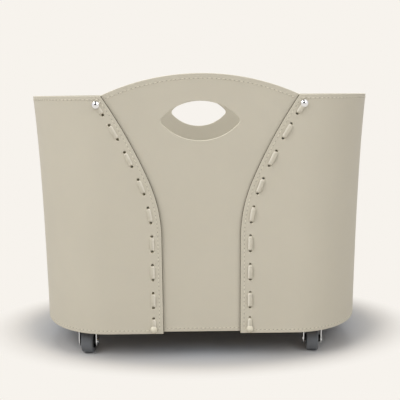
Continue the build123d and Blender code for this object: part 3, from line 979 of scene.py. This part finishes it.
class BASKET_OT_rivets(BasketStep):
    """Turn the domed rivet caps, their backs and the nails in the lace ends"""

    bl_idname = "basket.rivets"
    bl_label = "Rivets and nails"

    def execute(self, context):
        shape, detail, finish, _ = settings()
        chrome = handled_material(
            "rivet_chrome", finish.chrome, (0.45, 0.45, 0.46), 0.10, 1.0, 0.15, 0.004, 0.02
        )
        enamel = handled_material(
            "nail_enamel", finish.enamel, (0.50, 0.46, 0.36), 0.30, 0.0, 0.2, 0.003, 0.05
        )
        line = lace_line(shape)
        nail, _, rivet = lace_stops(shape, line)
        clear_of_thong, clear_of_leather = 0.0006, 0.0002
        seat = shape.lace_thickness + clear_of_thong
        back_seat = -(2 * shape.leather + shape.ply_gap + clear_of_leather)
        cap, cup = (detail.cap_radius, detail.cap_height), (0.0045, 0.0018)
        upright, flipped = Matrix.Identity(4), Matrix.Rotation(pi, 4, "X")
        for name, distance, out, size, facing, material, replaced in (
            ("rivet_caps", rivet, seat, cap, upright, chrome, "top_rivets"),
            ("rivet_cups", rivet, back_seat, cup, flipped, chrome, "rivet_backs"),
            ("nail_heads", nail, seat, cap, upright, enamel, "base_nails"),
        ):
            caps = bmesh.new()
            turned = turn_cap(*size)
            place, _ = lace_place(line, distance)
            for side in (1, -1):
                wall = wall_frame(shape, side * place.x, place.y, -out)
                for turn in (Matrix.Identity(4), HALF_TURN):
                    start = len(caps.verts)
                    caps.from_mesh(turned)
                    caps.verts.ensure_lookup_table()
                    added = caps.verts[start:]
                    bmesh.ops.transform(caps, matrix=turn @ wall @ facing, verts=added)
            bpy.data.meshes.remove(turned)
            settle(name, caps, material, [replaced])
        return {"FINISHED"}


def turn_cap(radius, height):
    """A domed cap with a rolled rim and a short post under it, turned in the lathe."""
    dome = (radius**2 + height**2) / (2 * height)
    dome_share, dome_steps = 0.94, 8
    post_radius, post_end = 0.32 * radius, -0.0016
    profile = []
    for index in range(dome_steps + 1):
        angle = asin(dome_share * radius / dome) * index / dome_steps
        profile.append((dome * sin(angle), height - dome + dome * cos(angle)))
    rim = profile[-1][1]
    profile += [(radius, 0.75 * rim), (radius, 0.3 * rim), (0.93 * radius, 0.0)]
    profile += [(post_radius, 0.0), (post_radius, post_end), (0.0, post_end)]
    cap = bmesh.new()
    verts = [cap.verts.new((x, 0, z)) for x, z in profile]
    edges = [cap.edges.new(pair) for pair in zip(verts, verts[1:])]
    middle, upwards = (0, 0, 0), (0, 0, 1)
    bmesh.ops.spin(
        cap, geom=verts + edges, cent=middle, axis=upwards, angle=2 * pi, steps=28, use_merge=True
    )
    bmesh.ops.remove_doubles(cap, verts=cap.verts, dist=1e-6)
    bmesh.ops.recalc_face_normals(cap, faces=cap.faces)
    mesh = bpy.data.meshes.new("cap")
    cap.to_mesh(mesh)
    cap.free()
    return mesh


class BASKET_OT_casters(BasketStep):
    """Give the casters their plated, rubber and moulded finishes"""

    bl_idname = "basket.casters"
    bl_label = "Casters"

    def execute(self, context):
        _, _, finish, _ = settings()
        zinc = handled_material(
            "plated_steel", finish.zinc, (0.30, 0.30, 0.31), 0.30, 1.0, 0.35, 0.006, 0.03
        )
        rubber = handled_material(
            "tread_rubber", finish.rubber, (0.16, 0.16, 0.16), 0.55, 0.0, 0.5, 0.008, 0.2
        )
        moulding = handled_material(
            "moulded_hub", finish.hub, (0.05, 0.05, 0.05), 0.45, 0.0, 0.3, 0.004, 0.15
        )
        steel_pieces = ("plate", "kingpin", "bearing_balls", "plate_screws", "fork", "axle")
        finishes = {"hub": moulding, "tyre": rubber, **dict.fromkeys(steel_pieces, zinc)}
        for caster in CASTERS:
            for piece, material in finishes.items():
                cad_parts[f"{caster}_{piece}"].material_slots[0].material = material
        return {"FINISHED"}


class BASKET_OT_stage(BasketStep):
    """Set the floor, the lamps and the camera"""

    bl_idname = "basket.stage"
    bl_label = "Stage"

    def execute(self, context):
        _, _, finish, stage = settings()
        scene = context.scene
        scene.view_settings.view_transform = "Standard"

        floor = bmesh.new()
        bmesh.ops.create_circle(floor, cap_ends=True, segments=96, radius=9.0)
        mesh = bpy.data.meshes.new("floor")
        floor.to_mesh(mesh)
        floor.free()
        mesh.materials.append(floor_material(finish, stage))
        ground = bpy.data.objects.new("floor", mesh)
        scene.collection.objects.link(ground)

        world = bpy.data.worlds.new("studio")
        scene.world = world
        world.use_nodes = True
        tree = world.node_tree
        light = tree.nodes["Background"]
        feed(tree, light.inputs["Color"], (1.0, 0.99, 0.975))
        feed(tree, light.inputs["Strength"], sky_strength(tree, stage))
        seen = node(tree, "ShaderNodeBackground", {"Color": finish.backdrop})
        mirrored = node(tree, "ShaderNodeBackground", {"Color": studio_reflection(tree)})
        rays = tree.nodes.new("ShaderNodeLightPath").outputs
        dull = mix_shader(tree, rays["Is Glossy Ray"], light, mirrored)
        shown = calc(tree, "MAXIMUM", rays["Is Camera Ray"], rays["Is Transmission Ray"])
        chooser = mix_shader(tree, shown, dull, seen)
        tree.links.new(chooser.outputs[0], tree.nodes["World Output"].inputs[0])

        add_lamp("key_lamp", (-1.9, -1.5, 2.3), (0, 0, 0.25), 1.8, stage.key_power)
        add_lamp("fill_lamp", (1.3, -1.7, 1.9), (0.1, 0, 0.25), 1.4, stage.fill_power)
        overhead = add_lamp("top_lamp", (0, -0.1, 2.8), (0, 0, 0), 2.2, stage.top_power)
        overhead.visible_glossy = False
        add_lamp("back_lamp", (0.3, 2.3, 2.0), (0, 0, 0.25), 2.0, stage.back_power)

        camera = bpy.data.cameras.new("camera")
        camera.lens = stage.lens
        camera.sensor_width = 36
        eye = bpy.data.objects.new("camera", camera)
        eye.matrix_world = (
            Matrix.Rotation(-stage.heading, 4, "Z")
            @ Matrix.Translation((0, -stage.distance, stage.eye_height))
            @ Matrix.Rotation(pi / 2 - stage.pitch, 4, "X")
            @ Matrix.Rotation(-stage.roll, 4, "Z")
        )
        scene.collection.objects.link(eye)
        scene.camera = eye
        return {"FINISHED"}


def sky_strength(tree, stage):
    """Even light that is weaker from the right."""
    direction = tree.nodes.new("ShaderNodeTexCoord").outputs["Generated"]
    parts = node(tree, "ShaderNodeSeparateXYZ", {0: direction})
    rightward = share_between(tree, parts.outputs["X"], 0.1, 0.9)
    return calc(tree, "MULTIPLY_ADD", rightward, stage.sky * (stage.right_share - 1), stage.sky)


def studio_reflection(tree):
    """What polished metal mirrors: pale walls with a slanting dark gap across the middle."""
    direction = tree.nodes.new("ShaderNodeTexCoord").outputs["Generated"]
    parts = node(tree, "ShaderNodeSeparateXYZ", {0: direction})
    sideways = calc(tree, "MULTIPLY_ADD", parts.outputs["Z"], 0.5, parts.outputs["X"])
    pale = share_between(tree, calc(tree, "ABSOLUTE", sideways), 0.44, 0.54)
    return mix_colour(tree, pale, (0.012, 0.011, 0.011), (0.92, 0.90, 0.92))


def add_lamp(name, place, target, size, power):
    """A soft square lamp that faces a target."""
    lamp = bpy.data.lights.new(name, "AREA")
    lamp.size = size
    lamp.energy = power
    holder = bpy.data.objects.new(name, lamp)
    aim = (Vector(target) - Vector(place)).to_track_quat("-Z", "Y")
    holder.matrix_world = Matrix.Translation(place) @ aim.to_matrix().to_4x4()
    bpy.context.scene.collection.objects.link(holder)
    return holder


def floor_material(finish, stage):
    """Pale matte floor with a painted shadow under the basket that also takes the lamps' shadow, and
    runs into the backdrop further out.
    """
    material = bpy.data.materials.new("floor_matte")
    material.use_nodes = True
    tree = material.node_tree
    shader = tree.nodes["Principled BSDF"]
    coordinates = tree.nodes.new("ShaderNodeTexCoord").outputs["Object"]
    reach = (stage.shade_reach_x, stage.shade_reach_y, 1)
    centred = vector_calc(tree, "SUBTRACT", coordinates, (0, stage.shade_middle, 0))
    scaled = vector_calc(tree, "DIVIDE", centred.outputs["Vector"], reach)
    distance = vector_calc(tree, "LENGTH", scaled.outputs["Vector"]).outputs["Value"]
    # Painted shadow: the floor colour runs from the shade colour under the basket out to the plain
    # floor colour.
    outward = share_between(tree, distance, 0.72, 1.15)
    feed(tree, shader.inputs["Base Color"], mix_colour(tree, outward, finish.shade, finish.floor))
    feed(tree, shader.inputs["Roughness"], 0.9)
    feed(tree, shader.inputs["Specular IOR Level"], 0.0)
    glow = node(tree, "ShaderNodeEmission", {"Color": finish.backdrop})
    rays = tree.nodes.new("ShaderNodeLightPath").outputs
    shown = calc(tree, "MAXIMUM", rays["Is Camera Ray"], rays["Is Glossy Ray"])
    fade = share_between(tree, distance, 1.0, stage.shade_fade, "SMOOTHSTEP")
    chooser = mix_shader(tree, calc(tree, "MULTIPLY", fade, shown), shader, glow)
    tree.links.new(chooser.outputs[0], tree.nodes["Material Output"].inputs[0])
    return material


STEPS = (
    BASKET_OT_panels,
    BASKET_OT_lining,
    BASKET_OT_lacing,
    BASKET_OT_stitching,
    BASKET_OT_seam_shade_bead,
    BASKET_OT_rivets,
    BASKET_OT_casters,
    BASKET_OT_stage,
)


class BASKET_PT_steps(bpy.types.Panel):
    """Sidebar panel with the settings and the steps"""

    bl_idname = "BASKET_PT_steps"
    bl_label = "Leather log basket"
    bl_space_type = "VIEW_3D"
    bl_region_type = "UI"
    bl_category = "Basket"

    def draw(self, context):
        layout = self.layout
        for label, group in zip(("Shape", "Detail", "Finish", "Stage"), settings()):
            box = layout.box()
            box.label(text=label)
            for name in group.bl_rna.properties.keys():
                if name not in ("rna_type", "name"):
                    box.prop(group, name)
        for step in STEPS:
            layout.operator(step.bl_idname)


GROUPS = {
    "basket_shape": BasketShape,
    "basket_detail": BasketDetail,
    "basket_finish": BasketFinish,
    "basket_stage": BasketStage,
}


def register():
    """Register the settings, the steps and the panel."""
    for name, group in GROUPS.items():
        bpy.utils.register_class(group)
        setattr(bpy.types.Scene, name, bpy.props.PointerProperty(type=group))
    for step in STEPS:
        bpy.utils.register_class(step)
    bpy.utils.register_class(BASKET_PT_steps)


def unregister():
    """Take everything out again."""
    bpy.utils.unregister_class(BASKET_PT_steps)
    for step in reversed(STEPS):
        bpy.utils.unregister_class(step)
    for name, group in GROUPS.items():
        delattr(bpy.types.Scene, name)
        bpy.utils.unregister_class(group)


def main():
    """Build the whole basket."""
    register()
    bpy.ops.basket.panels()
    bpy.ops.basket.lining()
    bpy.ops.basket.lacing()
    bpy.ops.basket.stitching()
    bpy.ops.basket.seam_paint()
    bpy.ops.basket.rivets()
    bpy.ops.basket.casters()
    bpy.ops.basket.stage()


if __name__ == "__main__":
    main()
